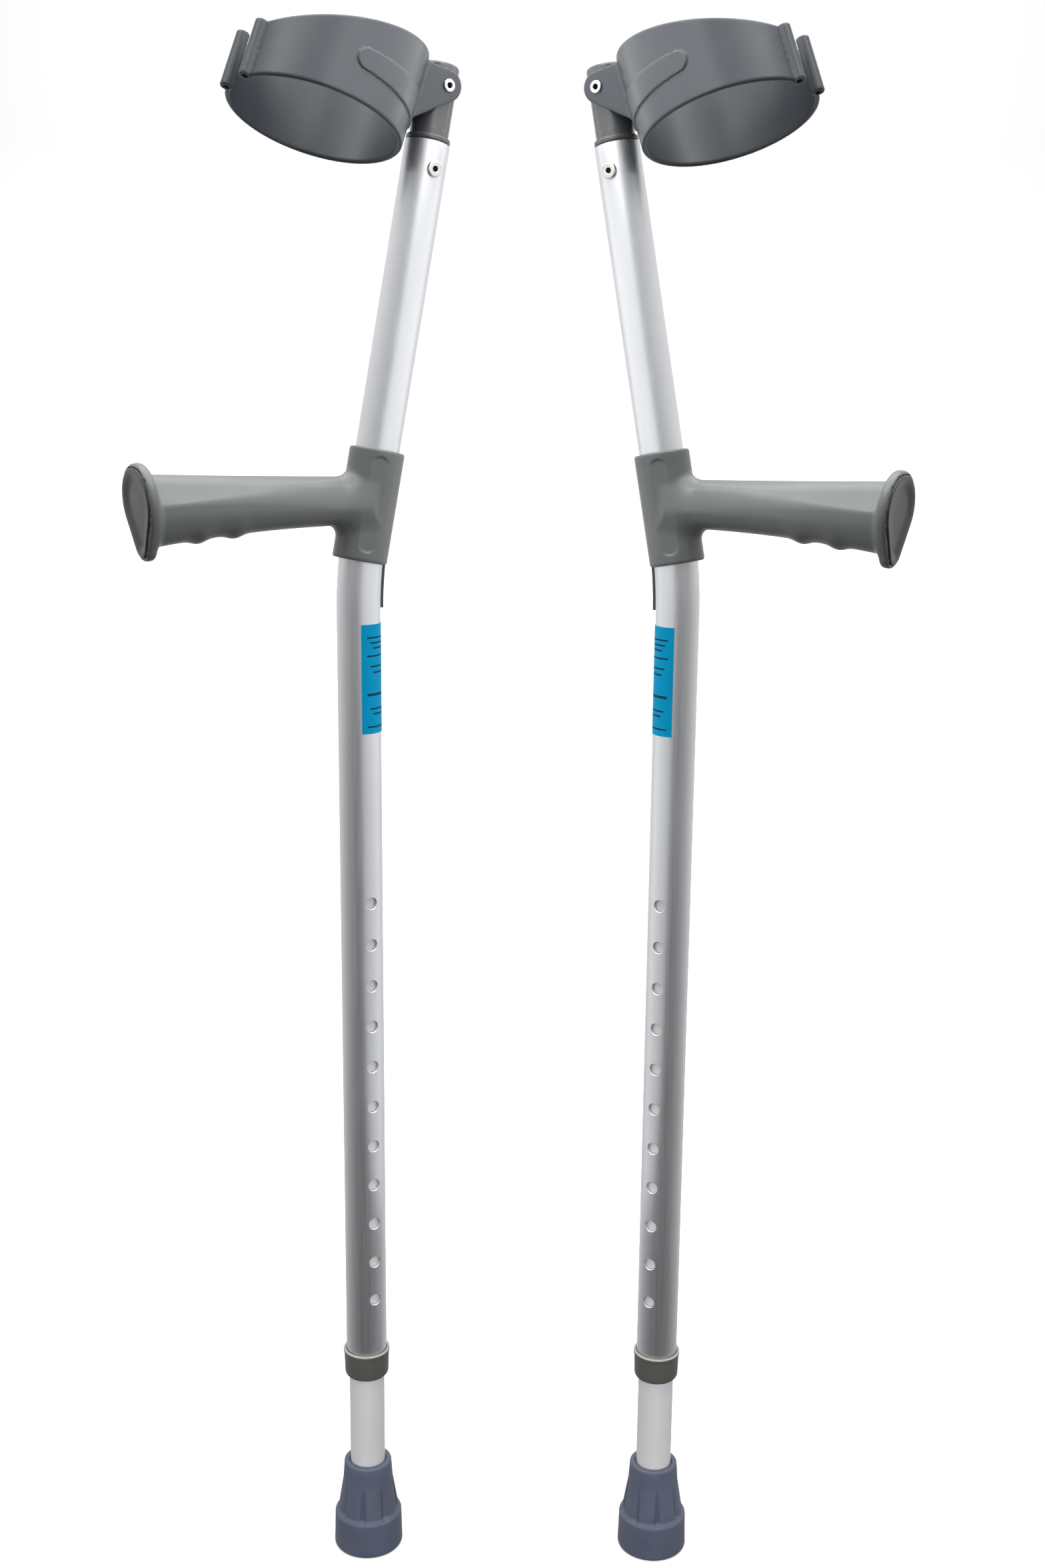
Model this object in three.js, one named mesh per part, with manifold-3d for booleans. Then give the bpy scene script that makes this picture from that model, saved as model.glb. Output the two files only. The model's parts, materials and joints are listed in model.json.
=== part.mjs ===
// A pair of height-adjustable forearm crutches standing side by side, handles turned outward and forward.
// Each crutch is built in its own frame: x along the handle, y to the side with the rivet heads, z up.
import * as THREE from "three";
import { mergeVertices } from "three/addons/utils/BufferGeometryUtils.js";
import Module from "manifold-3d";

const wasm = await Module();
wasm.setup();

// Placing of the two crutches; the shift centres their depth on the origin
const HALF_SPACING = 91;
const DEPTH_SHIFT = 21.46;
const HANDLE_YAW = THREE.MathUtils.degToRad(32.6);

// Tubes
const TUBE_R = 12.5;
const TUBE_WALL = 1.4;
const LEG_R = 10.9;
const LEG_WALL = 1.3;
const TUBE_SEGMENTS = 24;
const TUBE_BOTTOM_Z = 122;
const BEND_Z = 624.2;
const BEND_ANGLE = THREE.MathUtils.degToRad(11.2);
const BEND_R = 250;
const BEND_STEPS = 6;
const BEND_START_Z = BEND_Z - BEND_R * Math.tan(BEND_ANGLE / 2);
const TUBE_TOP_S = 237;
const GAP = 0.3;

// Height adjustment
const HOLE_COUNT = 11;
const HOLE_PITCH = 25.5;
const TOP_HOLE_Z = 429.5;
const HOLE_R = 3.5;
const HOLE_SEGMENTS = 8;
const BUTTON_R = 3.2;
const BUTTON_PROUD = 1.5;
const BUTTON_DOME = 1.2;
const SPRING_LEAF = 0.6;
const SPRING_WIDTH = 5;
const SPRING_BELOW = 38;
const SPRING_ABOVE = 7;
const SPRING_ARM = 6;
const SPRING_BEND = 2;
const LEG_TOP_Z = TOP_HOLE_Z + 24;
// A cutter reaches this far from the tube's axis.
const CUT_REACH = 20;

// Collar at the foot of the outer tube
const COLLAR_BOTTOM_Z = 118.8;
const COLLAR_TOP_Z = 137;
const COLLAR_TOP_R = 14.4;
const COLLAR_BOTTOM_R = 13.6;
const COLLAR_RIM = 3;

// Rubber tip
const TIP_TOP_Z = 58.6;
const TIP_TOP_R = 14.8;
const TIP_RIM = 7;
const TIP_LEDGE_Z = 22;
const TIP_LEDGE_R = 20.8;
const TIP_LEDGE_STEP = 2;
const TIP_BASE_R = 21.6;
const TIP_EDGE = 1.2;
const TIP_PANELS = 8;
const TIP_RING_POINTS = 48;
const TIP_GROOVE_DEPTH = 1.2;
const TIP_TURN = THREE.MathUtils.degToRad(5.6);
const TREAD_RADII = [7, 14];
const TREAD_WIDTH = 2;
const WASHER_HOLE_R = 4;
const WASHER_BOTTOM_Z = 11;
const WASHER_HEIGHT = 2;
const LEG_BOTTOM_Z = WASHER_BOTTOM_Z + WASHER_HEIGHT + GAP;

// Handle: socket round the tube, grip, and the plate at its end
const SOCKET_R = 15.6;
const SOCKET_BOTTOM_S = 4.9;
const SOCKET_TOP_S = 67.8;
const SOCKET_EDGE = 1.5;
const GRIP_ROOT = { x: 14, top: 677.6, bottom: 649.3, half: 14, crease: 668 };
const GRIP_END = { x: 124, top: 681.8, bottom: 641.8, half: 17, crease: 666 };
const GRIP_POINTS = 16;
const GRIP_SIDE_FULLNESS = 0.8;
const GRIP_TOP_FULLNESS = 0.85;
const FLARE_LENGTH = 18;
const FLARE_TOP = 9;
const FLARE_BOTTOM = 10;
const RIDGE_X = [76, 97];
const RIDGE_HEIGHT = 2;
const RIDGE_SPREAD = 5;
const FLANGE_X = GRIP_END.x;
const FLANGE_TILT = THREE.MathUtils.degToRad(5);
const FLANGE_BOTTOM_Z = 635.2;
const FLANGE_TOP_Z = 687;
const FLANGE_TOP_R = 20.5;
const FLANGE_BOTTOM_R = 10;
const FLANGE_THICKNESS = 6;
const PLATE_EDGE = 1.2;
const CAP_INSET = 2;
const CAP_DEPTH = 2.4;
const CAP_PROUD = 0.6;

// Strip between tube and socket
const WEDGE_BOTTOM_Z = 602;
const WEDGE_TOP_Z = 645;
const WEDGE_THICKNESS = 1.8;
const WEDGE_HALF_ANGLE = THREE.MathUtils.degToRad(14);
const WEDGE_SLOT_SPARE = 0.05;
const WEDGE_STEPS = 6;

// Label
const LABEL_BOTTOM_Z = 531;
const LABEL_TOP_Z = 594;
const LABEL_THICKNESS = 0.5;
const LABEL_GAP = 0.15;
const LABEL_START = THREE.MathUtils.degToRad(69);
const LABEL_SWEEP = THREE.MathUtils.degToRad(115);

// Stem that closes the outer tube and carries the cuff
const STEM_R = 10.8;
const STEM_BOTTOM_S = 195;
const STEM_TOP_S = 279;
const STEM_FLAT_Y = 10.2;
const SHOULDER_R = 12.3;
const SHOULDER_HEIGHT = 3;
const STEM_CHAMFER = 2.2;
const STEM_FLAT_FROM = TUBE_TOP_S + SHOULDER_HEIGHT + 4;
const STEM_RIVET_S = 222;
const STEM_RIVET = { shankR: 2.5, headR: 4.4, headHeight: 1.2 };
const PIVOT_RIVET = { shankR: 2.4, headR: 3.5, headHeight: 1 };
const PIVOT_S = 266.5;
const RIVET_BORE_R = 1.5;

// Cuff
const CUFF_TILT = THREE.MathUtils.degToRad(24.8);
const CUFF_ROLL = THREE.MathUtils.degToRad(9.7);
const CUFF_CENTRE = 62.5;
const CUFF_RX = 48.4;
const CUFF_RY = 44;
const CUFF_WALL = 3;
const CUFF_GAP_ANGLE = THREE.MathUtils.degToRad(13.5);
const CUFF_STEPS = 36;
// Upper and lower edge of the band: height at the sides, fall towards the opening, extra fall at both ends
const CUFF_TOP = { middle: -10.6, slope: -16.5, dip: -2.5 };
const CUFF_BOTTOM = { middle: -55.6, slope: -3.9, dip: 0 };
const CUFF_EDGE = 1;
const BEAD_R = 3.5;
const BEAD_SEGMENTS = 10;
const BEAD_BORE_R = 1.4;
const BEAD_END_LENGTH = 1;
const BEAD_END_TAPER = 0.6;
const BEAD_OVERHANG = 0.5;
const EAR_INNER_Y = 10.6;
const EAR_THICKNESS = 3;
const EAR_R = 8.3;
const EAR_HOLE_R = 2.5;
const EAR_ARC_FROM = THREE.MathUtils.degToRad(80);
const EAR_ARC_SWEEP = THREE.MathUtils.degToRad(150);
// Heel, lower root and upper root of the ear, as (forward, up) from the pivot
const EAR_ROOT = [
  [12, -25],
  [17, -28],
  [17, 6],
];

const SIDE = new THREE.Vector3(0, 1, 0);

function material(color, roughness, metalness) {
  return new THREE.MeshStandardMaterial({ color, roughness, metalness });
}

const ALUMINIUM = material(0xc9ccce, 0.35, 0.9);
const BRIGHT_STEEL = material(0xd6d8da, 0.2, 1);
const GREY_PLASTIC = material(0x6f7274, 0.55, 0);
const DARK_PLASTIC = material(0x4b4e51, 0.5, 0);
const OLIVE_PLASTIC = material(0x4a4b45, 0.6, 0);
const RUBBER = material(0x5e6a74, 0.85, 0);
const BLUE_FILM = material(0x159bc8, 0.4, 0);

function solid(geometry) {
  const bare = geometry.index ? geometry.toNonIndexed() : geometry.clone();
  bare.deleteAttribute("normal");
  bare.deleteAttribute("uv");
  const merged = mergeVertices(bare, 1e-4);
  const mesh = new wasm.Mesh({
    numProp: 3,
    vertProperties: new Float32Array(merged.attributes.position.array),
    triVerts: new Uint32Array(merged.index.array),
  });
  return new wasm.Manifold(mesh);
}

function meshOf(name, body, surface) {
  const data = body.getMesh();
  const geometry = new THREE.BufferGeometry();
  geometry.setAttribute("position", new THREE.BufferAttribute(data.vertProperties, 3));
  geometry.setIndex(new THREE.BufferAttribute(data.triVerts, 1));
  geometry.computeVertexNormals();
  const mesh = new THREE.Mesh(geometry, surface);
  mesh.name = name;
  return mesh;
}

// Closed body through a row of rings with equally many points, wound either way round.
// The end faces are fans over a convex ring, or strips across a thin bent one.
function loft(rings, endFace = fanFace) {
  const body = loftOneWay(rings, endFace);
  return body.volume() > 0 ? body : loftOneWay([...rings].reverse(), endFace);
}

function fanFace(ring, triangle) {
  for (let j = 1; j + 1 < ring.length; j++) {
    triangle(ring[0], ring[j + 1], ring[j]);
  }
}

function stripFace(ring, triangle) {
  const last = ring.length - 1;
  for (let j = 0; j + 1 < ring.length / 2; j++) {
    triangle(ring[j], ring[last - j], ring[j + 1]);
    triangle(ring[j + 1], ring[last - j], ring[last - j - 1]);
  }
}

function loftOneWay(rings, endFace) {
  const count = rings[0].length;
  const positions = [];
  const triangle = (a, b, c) => positions.push(a.x, a.y, a.z, b.x, b.y, b.z, c.x, c.y, c.z);
  for (let i = 0; i + 1 < rings.length; i++) {
    for (let j = 0; j < count; j++) {
      const k = (j + 1) % count;
      triangle(rings[i][j], rings[i][k], rings[i + 1][k]);
      triangle(rings[i][j], rings[i + 1][k], rings[i + 1][j]);
    }
  }
  endFace(rings[0], triangle);
  endFace(rings[rings.length - 1], (a, b, c) => triangle(a, c, b));
  const geometry = new THREE.BufferGeometry();
  geometry.setAttribute("position", new THREE.Float32BufferAttribute(positions, 3));
  return solid(geometry);
}

// Centre and lean of the outer tube at height z, below, within or above the bend.
function stationAt(z) {
  const rise = z - BEND_START_Z;
  if (rise <= 0) {
    return { x: 0, z, angle: 0 };
  }
  if (rise < BEND_R * Math.sin(BEND_ANGLE)) {
    const angle = Math.asin(rise / BEND_R);
    return { x: -BEND_R * (1 - Math.cos(angle)), z, angle };
  }
  return { x: -(z - BEND_Z) * Math.tan(BEND_ANGLE), z, angle: BEND_ANGLE };
}

// Stations through the bend, one for each step of its angle.
function bendStations() {
  const stations = [];
  for (let i = 0; i <= BEND_STEPS; i++) {
    stations.push(stationAt(BEND_START_Z + BEND_R * Math.sin((BEND_ANGLE * i) / BEND_STEPS)));
  }
  return stations;
}

// Point beside the upper tube's axis, at distance s above the corner of the two straight axes.
function onUpperTube(s, across = 0, y = 0) {
  return new THREE.Vector3(
    across * Math.cos(BEND_ANGLE) - s * Math.sin(BEND_ANGLE),
    y,
    BEND_Z + across * Math.sin(BEND_ANGLE) + s * Math.cos(BEND_ANGLE),
  );
}

function tubeRing(station, radius, from = 0, sweep = 2 * Math.PI, segments = TUBE_SEGMENTS) {
  const ring = [];
  const closed = sweep === 2 * Math.PI;
  const last = closed ? segments - 1 : segments;
  for (let j = 0; j <= last; j++) {
    const turn = from + (sweep * j) / segments;
    const across = radius * Math.cos(turn);
    ring.push(
      new THREE.Vector3(
        station.x + across * Math.cos(station.angle),
        radius * Math.sin(turn),
        station.z + across * Math.sin(station.angle),
      ),
    );
  }
  return ring;
}

function upperRing(s, radius) {
  const centre = onUpperTube(s);
  return tubeRing({ x: centre.x, z: centre.z, angle: BEND_ANGLE }, radius);
}

function tubeCore(radius, bottomZ, topS) {
  const stations = [stationAt(bottomZ), ...bendStations()];
  return loft([...stations.map((station) => tubeRing(station, radius)), upperRing(topS, radius)]);
}

function upright(profile, segments = TUBE_SEGMENTS) {
  const points = profile.map(([r, z]) => new THREE.Vector2(r, z));
  const geometry = new THREE.LatheGeometry(points, segments);
  geometry.rotateX(Math.PI / 2);
  geometry.rotateZ(Math.PI / 2);
  return solid(geometry);
}

function ringProfile(inner, outer, bottom, top) {
  return [
    [inner, bottom],
    [outer, bottom],
    [outer, top],
    [inner, top],
    [inner, bottom],
  ];
}

// Cylinder along the side axis, between two distances to the side.
function crossPin(radius, at, segments = 16, fromY = -CUT_REACH, toY = CUT_REACH) {
  const geometry = new THREE.CylinderGeometry(radius, radius, toY - fromY, segments);
  geometry.translate(at.x, (fromY + toY) / 2, at.z);
  return solid(geometry);
}

function block(x0, x1, y0, y1, z0, z1) {
  const geometry = new THREE.BoxGeometry(x1 - x0, y1 - y0, z1 - z0);
  geometry.translate((x0 + x1) / 2, (y0 + y1) / 2, (z0 + z1) / 2);
  return solid(geometry);
}

// Hollow rivet along the side axis, with a rounded head at each end.
function hollowRivet({ shankR, headR, headHeight }, halfGrip, at) {
  const rimR = headR * 0.6;
  const shoulder = halfGrip + headHeight * 0.4;
  const end = halfGrip + headHeight;
  const profile = [
    [RIVET_BORE_R, -end],
    [rimR, -end],
    [headR, -shoulder],
    [headR, -halfGrip],
    [shankR, -halfGrip],
    [shankR, halfGrip],
    [headR, halfGrip],
    [headR, shoulder],
    [rimR, end],
    [RIVET_BORE_R, end],
    [RIVET_BORE_R, -end],
  ];
  const points = profile.map(([r, y]) => new THREE.Vector2(r, y));
  const geometry = new THREE.LatheGeometry(points, 16);
  geometry.translate(at.x, 0, at.z);
  return solid(geometry);
}

function outerTube() {
  const bore = tubeCore(TUBE_R - TUBE_WALL, TUBE_BOTTOM_Z - 1, TUBE_TOP_S + 1);
  let tube = tubeCore(TUBE_R, TUBE_BOTTOM_Z, TUBE_TOP_S).subtract(bore);
  for (let i = 0; i < HOLE_COUNT; i++) {
    const at = new THREE.Vector3(0, 0, TOP_HOLE_Z - i * HOLE_PITCH);
    tube = tube.subtract(crossPin(HOLE_R, at, HOLE_SEGMENTS));
  }
  return tube.subtract(crossPin(EAR_HOLE_R + GAP, onUpperTube(STEM_RIVET_S)));
}

function legTube() {
  const leg = upright(ringProfile(LEG_R - LEG_WALL, LEG_R, LEG_BOTTOM_Z, LEG_TOP_Z));
  const at = new THREE.Vector3(0, 0, TOP_HOLE_Z);
  return leg.subtract(crossPin(HOLE_R, at, HOLE_SEGMENTS, -CUT_REACH, 0));
}

function collar() {
  const seat = TUBE_BOTTOM_Z - GAP;
  const rimBottom = COLLAR_TOP_Z - COLLAR_RIM;
  return upright([
    [LEG_R + GAP, COLLAR_BOTTOM_Z],
    [COLLAR_BOTTOM_R, COLLAR_BOTTOM_Z],
    [COLLAR_TOP_R - 0.5, rimBottom - 1],
    [COLLAR_TOP_R, rimBottom],
    [COLLAR_TOP_R, COLLAR_TOP_Z],
    [TUBE_R + GAP, COLLAR_TOP_Z],
    [TUBE_R + GAP, seat],
    [LEG_R + GAP, seat],
    [LEG_R + GAP, COLLAR_BOTTOM_Z],
  ]);
}

function snapButton() {
  const inner = LEG_R - LEG_WALL - 0.4;
  const outer = TUBE_R + BUTTON_PROUD;
  const profile = [
    [0, inner],
    [BUTTON_R, inner],
    [BUTTON_R, outer - BUTTON_DOME],
    [BUTTON_R * 0.7, outer - BUTTON_DOME / 4],
    [0, outer],
  ];
  const points = profile.map(([r, y]) => new THREE.Vector2(r, y));
  const geometry = new THREE.LatheGeometry(points, 16);
  geometry.rotateX(Math.PI);
  geometry.translate(0, 0, TOP_HOLE_Z);
  return solid(geometry);
}

// Bent leaf inside the leg; one arm lies behind the button and the other against the opposite wall.
function buttonSpring() {
  const arm = LEG_R - LEG_WALL - 0.8;
  const bottom = TOP_HOLE_Z - SPRING_BELOW;
  const top = TOP_HOLE_Z + SPRING_ABOVE;
  const knee = TOP_HOLE_Z - SPRING_ARM;
  const innerArm = arm - SPRING_LEAF;
  const innerBend = SPRING_BEND - 0.4;
  const outline = [
    [-arm, top],
    [-arm, knee],
    [-SPRING_BEND, bottom],
    [SPRING_BEND, bottom],
    [arm, knee],
    [arm, top],
    [innerArm, top],
    [innerArm, knee],
    [innerBend, bottom + SPRING_LEAF],
    [-innerBend, bottom + SPRING_LEAF],
    [-innerArm, knee],
    [-innerArm, top],
  ];
  const shape = new THREE.Shape(outline.map(([y, z]) => new THREE.Vector2(y, z)));
  const geometry = new THREE.ExtrudeGeometry(shape, { depth: SPRING_WIDTH, bevelEnabled: false });
  geometry.translate(0, 0, -SPRING_WIDTH / 2);
  geometry.rotateX(Math.PI / 2);
  geometry.rotateZ(Math.PI / 2);
  return solid(geometry);
}

// Ring round the rubber tip, pressed in at the grooves between its panels.
function tipRing(z, radius, groove) {
  const points = [];
  const perPanel = TIP_RING_POINTS / TIP_PANELS;
  for (let j = 0; j < TIP_RING_POINTS; j++) {
    const turn = TIP_TURN + (2 * Math.PI * j) / TIP_RING_POINTS;
    const r = j % perPanel === 0 ? radius - groove : radius;
    points.push(new THREE.Vector3(r * Math.cos(turn), r * Math.sin(turn), z));
  }
  return points;
}

function rubberTip() {
  const coneR = TIP_LEDGE_R - TIP_LEDGE_STEP;
  const outside = loft([
    tipRing(0, TIP_BASE_R - 1, 0),
    tipRing(TIP_EDGE, TIP_BASE_R, 0),
    tipRing(TIP_LEDGE_Z - 1, TIP_LEDGE_R, 0),
    tipRing(TIP_LEDGE_Z + 1, coneR + 0.6, 0),
    tipRing(TIP_LEDGE_Z + 4, coneR, TIP_GROOVE_DEPTH),
    tipRing(TIP_TOP_Z - 2 * TIP_RIM, TIP_TOP_R + 1, 0),
    tipRing(TIP_TOP_Z - TIP_RIM, TIP_TOP_R, 0),
    tipRing(TIP_TOP_Z, TIP_TOP_R, 0),
  ]);
  const bore = upright([
    [0, WASHER_BOTTOM_Z - GAP],
    [LEG_R + GAP, WASHER_BOTTOM_Z - GAP],
    [LEG_R + GAP, TIP_TOP_Z + 1],
    [0, TIP_TOP_Z + 1],
  ]);
  let tip = outside.subtract(bore);
  for (const radius of TREAD_RADII) {
    tip = tip.subtract(upright(ringProfile(radius, radius + TREAD_WIDTH, -1, TIP_EDGE), 20));
  }
  return tip;
}

function tipWasher() {
  const top = WASHER_BOTTOM_Z + WASHER_HEIGHT;
  return upright(ringProfile(WASHER_HOLE_R, LEG_R - GAP, WASHER_BOTTOM_Z, top));
}

// Section of the grip at distance x from the tube: heights of top, underside and widest line, and half width.
function gripSection(x) {
  const part = THREE.MathUtils.clamp((x - GRIP_ROOT.x) / (GRIP_END.x - GRIP_ROOT.x), 0, 1);
  const between = (key, weight) => GRIP_ROOT[key] + (GRIP_END[key] - GRIP_ROOT[key]) * weight;
  const flare = (Math.max(0, FLARE_LENGTH - x) / FLARE_LENGTH) ** 2;
  const ridge = (at) => RIDGE_HEIGHT * Math.exp(-(((x - at) / RIDGE_SPREAD) ** 2));
  const ridges = RIDGE_X.reduce((sum, at) => sum + ridge(at), 0);
  return {
    top: between("top", part) + FLARE_TOP * flare,
    bottom: between("bottom", part ** 2) - ridges - FLARE_BOTTOM * flare,
    half: between("half", part),
    crease: between("crease", part),
  };
}

function gripRing(x) {
  const { top, bottom, half, crease } = gripSection(x);
  const full = (value, power) => Math.sign(value) * Math.abs(value) ** power;
  const points = [];
  for (let j = 0; j < GRIP_POINTS; j++) {
    const turn = (2 * Math.PI * j) / GRIP_POINTS;
    const y = half * full(Math.cos(turn), GRIP_SIDE_FULLNESS);
    const rise = Math.sin(turn) > 0 ? top - crease : crease - bottom;
    points.push(new THREE.Vector3(x, y, crease + rise * full(Math.sin(turn), GRIP_TOP_FULLNESS)));
  }
  return points;
}

// Grip between the tube's axis and the end plate, sampled at the tops and foots of its ridges.
function grip() {
  const rings = [];
  for (let x = -4; x < GRIP_ROOT.x + 1; x += 6) {
    rings.push(gripRing(x));
  }
  const step = (RIDGE_X[1] - RIDGE_X[0]) / 3;
  for (let x = RIDGE_X[0] - 8 * step; x < FLANGE_X; x += step) {
    rings.push(gripRing(x));
  }
  rings.push(gripRing(FLANGE_X + 2));
  return loft(rings);
}

// Outline round an upper and a lower circle, as points (side, height).
function teardrop(inset, steps = 10) {
  const topR = FLANGE_TOP_R - inset;
  const lowR = FLANGE_BOTTOM_R - inset;
  const topZ = FLANGE_TOP_Z - FLANGE_TOP_R;
  const lowZ = FLANGE_BOTTOM_Z + FLANGE_BOTTOM_R;
  const lean = Math.asin((topR - lowR) / (topZ - lowZ));
  const points = [];
  for (let i = 0; i <= steps; i++) {
    const turn = -lean + ((Math.PI + 2 * lean) * i) / steps;
    points.push(new THREE.Vector2(topR * Math.cos(turn), topZ + topR * Math.sin(turn)));
  }
  for (let i = 0; i <= steps; i++) {
    const turn = Math.PI + lean + ((Math.PI - 2 * lean) * i) / steps;
    points.push(new THREE.Vector2(lowR * Math.cos(turn), lowZ + lowR * Math.sin(turn)));
  }
  return points;
}

// Plate of the teardrop's outline with soft edges, leaning out at the top.
function endPlate(inset, fromX, toX) {
  const middleZ = (FLANGE_TOP_Z + FLANGE_BOTTOM_Z) / 2;
  const centre = new THREE.Vector3(FLANGE_X, 0, middleZ);
  const ring = (x, extra) =>
    teardrop(inset + extra).map((p) => {
      const point = new THREE.Vector3(x, p.x, p.y).sub(centre);
      return point.applyAxisAngle(SIDE, FLANGE_TILT).add(centre);
    });
  return loft([
    ring(fromX, PLATE_EDGE),
    ring(fromX + PLATE_EDGE, 0),
    ring(toX - PLATE_EDGE, 0),
    ring(toX, PLATE_EDGE),
  ]);
}

// Strip on the rear of the tube; the slot for it in the socket is larger by a gap.
function wedge(gap) {
  const bottom = WEDGE_BOTTOM_Z - gap;
  const height = WEDGE_TOP_Z + gap - bottom;
  const half = WEDGE_HALF_ANGLE + (gap > 0 ? WEDGE_SLOT_SPARE : 0);
  const rings = [];
  for (let i = 0; i <= WEDGE_STEPS; i++) {
    const station = stationAt(bottom + (height * i) / WEDGE_STEPS);
    const side = (radius) => tubeRing(station, radius, Math.PI - half, 2 * half, 4);
    const outer = side(TUBE_R + GAP + WEDGE_THICKNESS + gap);
    rings.push([...side(TUBE_R + GAP - gap / 2), ...outer.reverse()]);
  }
  return loft(rings, stripFace);
}

function handle() {
  const socket = loft([
    upperRing(SOCKET_BOTTOM_S, SOCKET_R - 1),
    upperRing(SOCKET_BOTTOM_S + SOCKET_EDGE, SOCKET_R),
    upperRing(SOCKET_TOP_S - SOCKET_EDGE, SOCKET_R),
    upperRing(SOCKET_TOP_S, SOCKET_R - 1),
  ]);
  const face = FLANGE_X + FLANGE_THICKNESS;
  const recess = endPlate(CAP_INSET - GAP, face - CAP_DEPTH - GAP, face + 14);
  const bore = tubeCore(TUBE_R + GAP, BEND_START_Z - 30, SOCKET_TOP_S + 20);
  const body = socket.add(grip()).add(endPlate(0, FLANGE_X, face));
  return body.subtract(recess).subtract(bore).subtract(wedge(GAP));
}

function endCap() {
  const face = FLANGE_X + FLANGE_THICKNESS;
  return endPlate(CAP_INSET, face - CAP_DEPTH, face + CAP_PROUD);
}

function label() {
  const inner = TUBE_R + LABEL_GAP;
  const rings = [LABEL_BOTTOM_Z, LABEL_TOP_Z].map((z) => {
    const side = (radius) => tubeRing(stationAt(z), radius, LABEL_START, LABEL_SWEEP, 10);
    return [...side(inner + LABEL_THICKNESS), ...side(inner).reverse()];
  });
  return loft(rings, stripFace);
}

function stem() {
  const core = loft([
    upperRing(STEM_BOTTOM_S, STEM_R - 1),
    upperRing(STEM_BOTTOM_S + 2, STEM_R),
    upperRing(STEM_TOP_S - STEM_CHAMFER, STEM_R),
    upperRing(STEM_TOP_S, STEM_R - STEM_CHAMFER),
  ]);
  const shoulderBottom = upperRing(TUBE_TOP_S + GAP, SHOULDER_R);
  const shoulderTop = upperRing(TUBE_TOP_S + SHOULDER_HEIGHT, SHOULDER_R);
  let body = core.add(loft([shoulderBottom, shoulderTop]));
  const low = onUpperTube(STEM_FLAT_FROM).z;
  const high = onUpperTube(STEM_TOP_S + CUT_REACH).z;
  for (const [fromY, toY] of [
    [STEM_FLAT_Y, CUT_REACH],
    [-CUT_REACH, -STEM_FLAT_Y],
  ]) {
    body = body.subtract(block(onUpperTube(STEM_TOP_S).x - CUT_REACH, 0, fromY, toY, low, high));
  }
  for (const s of [STEM_RIVET_S, PIVOT_S]) {
    body = body.subtract(crossPin(EAR_HOLE_R + GAP, onUpperTube(s)));
  }
  return body;
}

// Point of the cuff: forward of the pivot, to the side, and along the cuff's own axis.
function onCuff(forward, side, along, roll = CUFF_ROLL) {
  const y = side * Math.cos(roll) - along * Math.sin(roll);
  const t = side * Math.sin(roll) + along * Math.cos(roll);
  const pivot = onUpperTube(PIVOT_S);
  return new THREE.Vector3(
    pivot.x + forward * Math.cos(CUFF_TILT) - t * Math.sin(CUFF_TILT),
    y,
    pivot.z + forward * Math.sin(CUFF_TILT) + t * Math.cos(CUFF_TILT),
  );
}

// Upper and lower edge of the cuff band; front is 1 at the opening and -1 at the tube.
function cuffEdges(front) {
  const height = ({ middle, slope, dip }) => middle + slope * front + dip * front * front;
  return { top: height(CUFF_TOP), bottom: height(CUFF_BOTTOM) };
}

function cuffSection(turn) {
  const front = Math.cos(turn);
  const side = Math.sin(turn);
  const { top, bottom } = cuffEdges(front);
  const at = (inward, along) =>
    onCuff(CUFF_CENTRE + (CUFF_RX - inward) * front, (CUFF_RY - inward) * side, along);
  return [
    at(CUFF_WALL - CUFF_EDGE, bottom),
    at(CUFF_EDGE, bottom),
    at(0, bottom + CUFF_EDGE),
    at(0, top - CUFF_EDGE),
    at(CUFF_EDGE, top),
    at(CUFF_WALL - CUFF_EDGE, top),
    at(CUFF_WALL, top - CUFF_EDGE),
    at(CUFF_WALL, bottom + CUFF_EDGE),
  ];
}

// Rod along the edge of the opening, standing out by an overhang at both ends.
function beadRod(turn, radius, overhang) {
  const { top, bottom } = cuffEdges(Math.cos(turn));
  const centreX = CUFF_CENTRE + CUFF_RX * Math.cos(turn);
  const centreY = CUFF_RY * Math.sin(turn);
  const ring = (along, r) => {
    const points = [];
    for (let j = 0; j < BEAD_SEGMENTS; j++) {
      const angle = (2 * Math.PI * j) / BEAD_SEGMENTS;
      points.push(onCuff(centreX + r * Math.cos(angle), centreY + r * Math.sin(angle), along));
    }
    return points;
  };
  return loft([
    ring(bottom - overhang, radius - BEAD_END_TAPER),
    ring(bottom - overhang + BEAD_END_LENGTH, radius),
    ring(top + overhang - BEAD_END_LENGTH, radius),
    ring(top + overhang, radius - BEAD_END_TAPER),
  ]);
}

// Plate beside the stem: a round eye at the pivot, widening to the band.
function ear(side) {
  const outline = [];
  const steps = 10;
  for (let i = 0; i <= steps; i++) {
    const turn = EAR_ARC_FROM + (EAR_ARC_SWEEP * i) / steps;
    outline.push([EAR_R * Math.cos(turn), EAR_R * Math.sin(turn)]);
  }
  outline.push(...EAR_ROOT);
  const ring = (y) => outline.map(([forward, up]) => onCuff(forward, side * y, up, 0));
  return loft([ring(EAR_INNER_Y), ring(EAR_INNER_Y + EAR_THICKNESS)]);
}

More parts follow.
